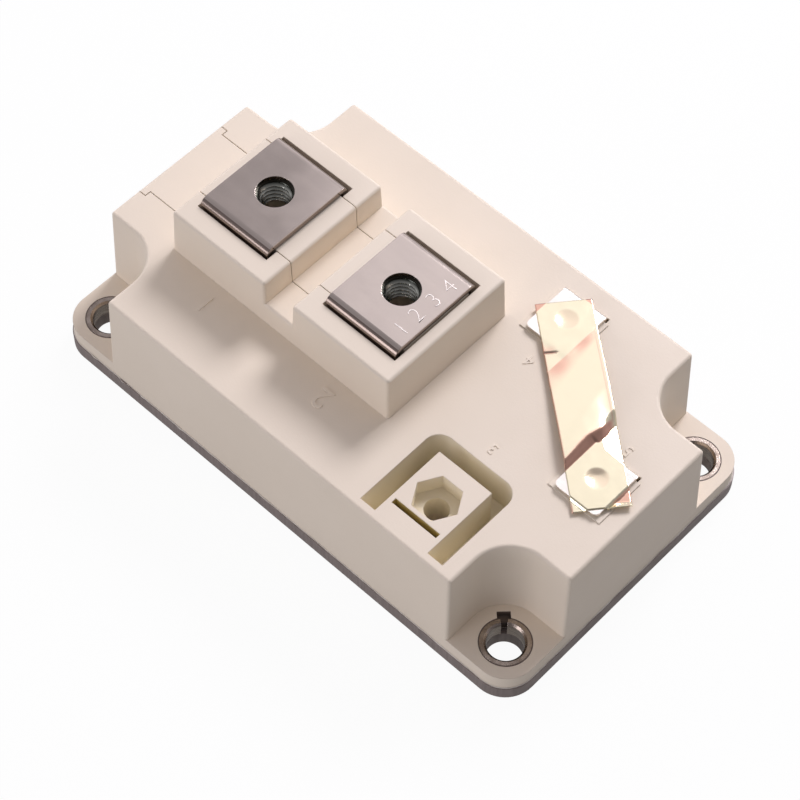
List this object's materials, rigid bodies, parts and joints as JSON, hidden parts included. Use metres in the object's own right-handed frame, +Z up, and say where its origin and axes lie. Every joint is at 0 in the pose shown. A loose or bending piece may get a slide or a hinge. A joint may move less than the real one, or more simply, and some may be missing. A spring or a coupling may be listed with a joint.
{
  "type": "power semiconductor module",
  "caption": "Insulated-gate power module: cream moulded housing on a metal plate, raised tower with screw terminals, and small control terminals shorted by a copper foil strip.",
  "frame": {"origin": "middle of the base plate's underside", "axes": "+X along the module from the main terminals towards the auxiliary ones, +Y across, +Z up from the heat sink"},
  "size_m": [0.1064, 0.0614, 0.0353],
  "materials": {
    "housing_plastic": "fine-textured moulded PBT, cream",
    "carrier_plastic": "fine-textured moulded PBT, cream",
    "base_plate_nickel": "nickel-plated copper, milled underside",
    "sleeve_steel": "rolled steel strip, zinc-plated",
    "main_terminal_nickel": "nickel-plated copper strip, satin top and bright bends",
    "aux_terminal_tin": "tin-plated copper sheet",
    "nut_steel": "steel nut, zinc-plated",
    "copper_foil": "thin bright copper foil, hand-pressed and creased",
    "adhesive_silicone": "cured silicone adhesive",
    "ceramic_white": "alumina tile",
    "tile_copper": "bonded copper, bare",
    "chip_silicon": "metallised silicon",
    "bond_aluminium": "aluminium wire",
    "gel_silicone": "soft clear silicone gel"
  },
  "bodies": {
    "root": {"baseplate": "base_plate_nickel", "housing": "housing_plastic", "nut_carrier": "carrier_plastic", "adhesive_bead": "adhesive_silicone", "shorting_strip": "copper_foil", "silicone_gel": "gel_silicone", "igbt_chips": "chip_silicon", "diode_chips": "chip_silicon", "bond_wires": "bond_aluminium", "collector_bridges": "tile_copper", "gate_terminal": "aux_terminal_tin", "sense_terminal": "aux_terminal_tin", "gate_nut": "nut_steel", "sense_nut": "nut_steel", "mounting_sleeve_front_left": "sleeve_steel", "mounting_sleeve_front_right": "sleeve_steel", "mounting_sleeve_back_right": "sleeve_steel", "mounting_sleeve_back_left": "sleeve_steel", "main_terminal_1": "main_terminal_nickel", "main_nut_1": "nut_steel", "ceramic_tile_1": "ceramic_white", "copper_pattern_1": "tile_copper", "copper_backing_1": "tile_copper", "main_terminal_2": "main_terminal_nickel", "main_nut_2": "nut_steel", "ceramic_tile_2": "ceramic_white", "copper_pattern_2": "tile_copper", "copper_backing_2": "tile_copper"}
  },
  "joints": []
}
